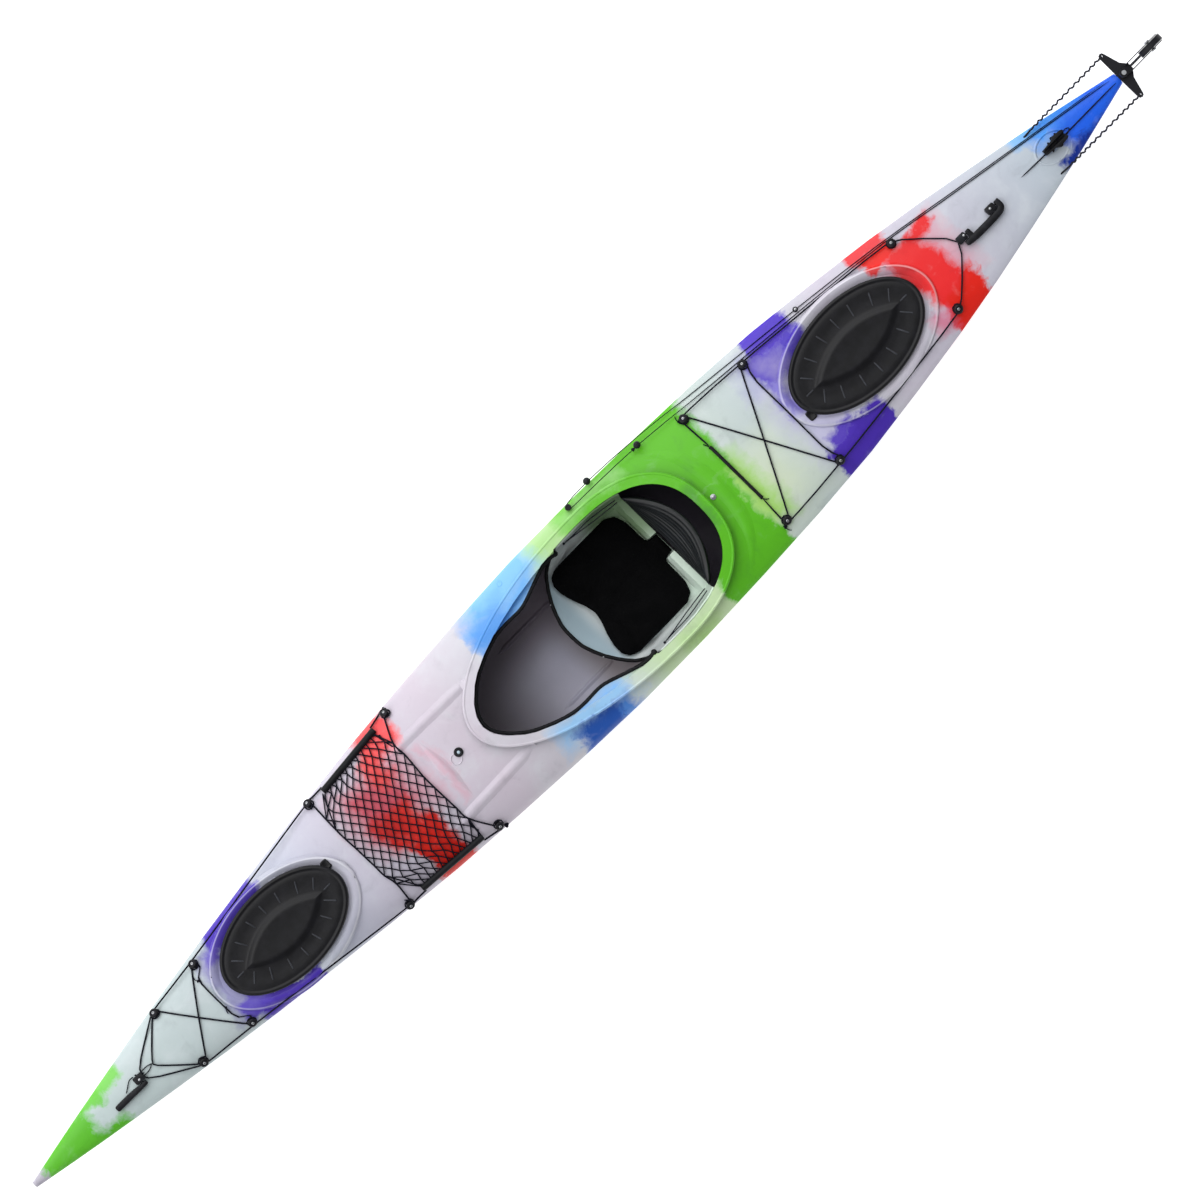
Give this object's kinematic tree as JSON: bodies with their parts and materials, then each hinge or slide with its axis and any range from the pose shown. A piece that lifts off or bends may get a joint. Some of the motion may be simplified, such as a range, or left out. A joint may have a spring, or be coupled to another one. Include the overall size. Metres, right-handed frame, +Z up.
{
  "type": "touring kayak",
  "caption": "single-seat rotomoulded touring kayak with foot-steered stern rudder, oval hatch covers, deck lines, bungees and foredeck net",
  "frame": {"origin": "on the flat keel strip under the middle of the hull, on the ground plane", "axes": "+X towards the bow, +Y to port, +Z up"},
  "size_m": [4.657, 0.5809, 0.425],
  "materials": {
    "hull_plastic": "blended multi-colour polyethylene: blue, white, red, violet and green",
    "seat_plastic": "white moulded plastic",
    "rubber": "satin black rubber",
    "foam": "matt black covered foam",
    "grey_foam": "grey closed-cell foam",
    "metal": "brushed stainless steel",
    "dark_metal": "black coated aluminium",
    "black_plastic": "black moulded plastic",
    "cord": "black braided cord"
  },
  "bodies": {
    "boat": {"hull_shell": "hull_plastic", "seat_pan": "seat_plastic", "leg_opening_trim": "rubber", "net_sleeve_port": "rubber", "net_sleeve_starboard": "rubber", "bungee_sleeve": "rubber", "stow_chock": "rubber", "seat_pad": "foam", "bulkhead_rear": "grey_foam", "bulkhead_front": "grey_foam", "rudder_bracket": "metal", "rudder_pin": "metal", "steering_cable_port": "metal", "steering_cable_starboard": "metal", "footrest_rail_port": "dark_metal", "footrest_rail_starboard": "dark_metal", "cable_conduit_port": "black_plastic", "cable_conduit_starboard": "black_plastic", "handle_mount_stern_aft": "black_plastic", "handle_mount_stern_fore": "black_plastic", "handle_mount_bow": "black_plastic", "lift_pulley": "black_plastic", "line_eye": "black_plastic", "line_guide_aft_port": "black_plastic", "line_guide_aft_starboard": "black_plastic", "line_guide_bungee_aft_port": "black_plastic", "line_guide_bungee_aft_starboard": "black_plastic", "line_guide_bungee_fore_port": "black_plastic", "line_guide_bungee_fore_starboard": "black_plastic", "line_guide_net_aft_port": "black_plastic", "line_guide_net_aft_starboard": "black_plastic", "line_guide_net_fore_port": "black_plastic", "line_guide_net_fore_starboard": "black_plastic", "line_guide_bow_aft_port": "black_plastic", "line_guide_bow_aft_starboard": "black_plastic", "line_guide_bow_fore_port": "black_plastic", "line_guide_bow_fore_starboard": "black_plastic", "deck_line_stern": "cord", "deck_line_bow": "cord", "bungee_rear": "cord", "bungee_bow": "cord", "foredeck_net": "cord", "lift_line": "cord", "stow_line": "cord", "backrest_strap_port": "cord", "backrest_strap_starboard": "cord"},
    "rudder_head_body": {"rudder_head": "dark_metal", "rudder_yoke": "dark_metal", "rudder_bolt": "metal"},
    "rudder_blade_body": {"rudder_blade": "dark_metal"},
    "pedal_port_body": {"rudder_pedal_port": "black_plastic"},
    "pedal_starboard_body": {"rudder_pedal_starboard": "black_plastic"},
    "hatch_rear_body": {"hatch_cover_rear": "rubber"},
    "hatch_front_body": {"hatch_cover_front": "rubber"},
    "vent_plug_body": {"vent_plug": "black_plastic"},
    "stern_handle_body": {"carry_handle_stern": "black_plastic"},
    "bow_handle_body": {"carry_handle_bow": "black_plastic"},
    "backrest_body": {"backrest": "foam"},
    "ball_inner_body": {"lift_ball_inner": "black_plastic"},
    "ball_outer_body": {"lift_ball_outer": "black_plastic"}
  },
  "joints": [
    {"name": "rudder_steer", "type": "hinge", "parent": "boat", "child": "rudder_head_body", "pos_m": [-2.265, 0, 0.32], "axis": [0, 0, 1], "range_deg": [-35, 35], "deforming": ["steering_cable_port", "steering_cable_starboard"]},
    {"name": "rudder_lift", "type": "hinge", "parent": "rudder_head_body", "child": "rudder_blade_body", "pos_m": [-2.367, 0, 0.385], "axis": [0, 1, 0], "range_deg": [0, 279.5]},
    {"name": "pedal_port_slide", "type": "slide", "parent": "boat", "child": "pedal_port_body", "axis": [0.9964, -0.0844, 0], "range_m": [-0.05, 0.05]},
    {"name": "pedal_starboard_slide", "type": "slide", "parent": "boat", "child": "pedal_starboard_body", "axis": [0.9964, 0.0844, 0], "range_m": [-0.05, 0.05]},
    {"name": "ball_inner_slide", "type": "slide", "parent": "boat", "child": "ball_inner_body", "axis": [0.9986, -0.034, -0.0404], "range_m": [0, 0.181]},
    {"name": "ball_outer_slide", "type": "slide", "parent": "boat", "child": "ball_outer_body", "axis": [0.9979, -0.0637, -0.0085], "range_m": [-0.181, 0]},
    {"name": "hatch_rear_lift", "type": "slide", "parent": "boat", "child": "hatch_rear_body", "axis": [0.0178, 0, 0.9998], "range_m": [0, 0.25]},
    {"name": "hatch_front_lift", "type": "slide", "parent": "boat", "child": "hatch_front_body", "axis": [-0.0052, 0, 1], "range_m": [0, 0.25]},
    {"name": "vent_plug_lift", "type": "slide", "parent": "boat", "child": "vent_plug_body", "axis": [0, 0, 1], "range_m": [0, 0.06]},
    {"name": "stern_handle_swing", "type": "hinge", "parent": "boat", "child": "stern_handle_body", "pos_m": [-1.717, 0, 0.3067], "axis": [1, 0, -0.0058], "range_deg": [0, 175]},
    {"name": "bow_handle_swing", "type": "hinge", "parent": "boat", "child": "bow_handle_body", "pos_m": [1.819, 0, 0.3544], "axis": [0, -1, 0], "range_deg": [0, 100]},
    {"name": "backrest_fold", "type": "hinge", "parent": "boat", "child": "backrest_body", "pos_m": [-0.376, 0, 0.132], "axis": [0, 1, 0], "range_deg": [0, 60], "deforming": ["backrest_strap_port", "backrest_strap_starboard"]}
  ],
  "couplings": [
    {"joint": "pedal_port_slide", "follows": "rudder_steer", "m_per_rad": -0.079},
    {"joint": "pedal_starboard_slide", "follows": "rudder_steer", "m_per_rad": 0.079},
    {"joint": "ball_inner_slide", "follows": "rudder_lift", "m_per_rad": 0.037},
    {"joint": "ball_outer_slide", "follows": "rudder_lift", "m_per_rad": -0.037}
  ]
}
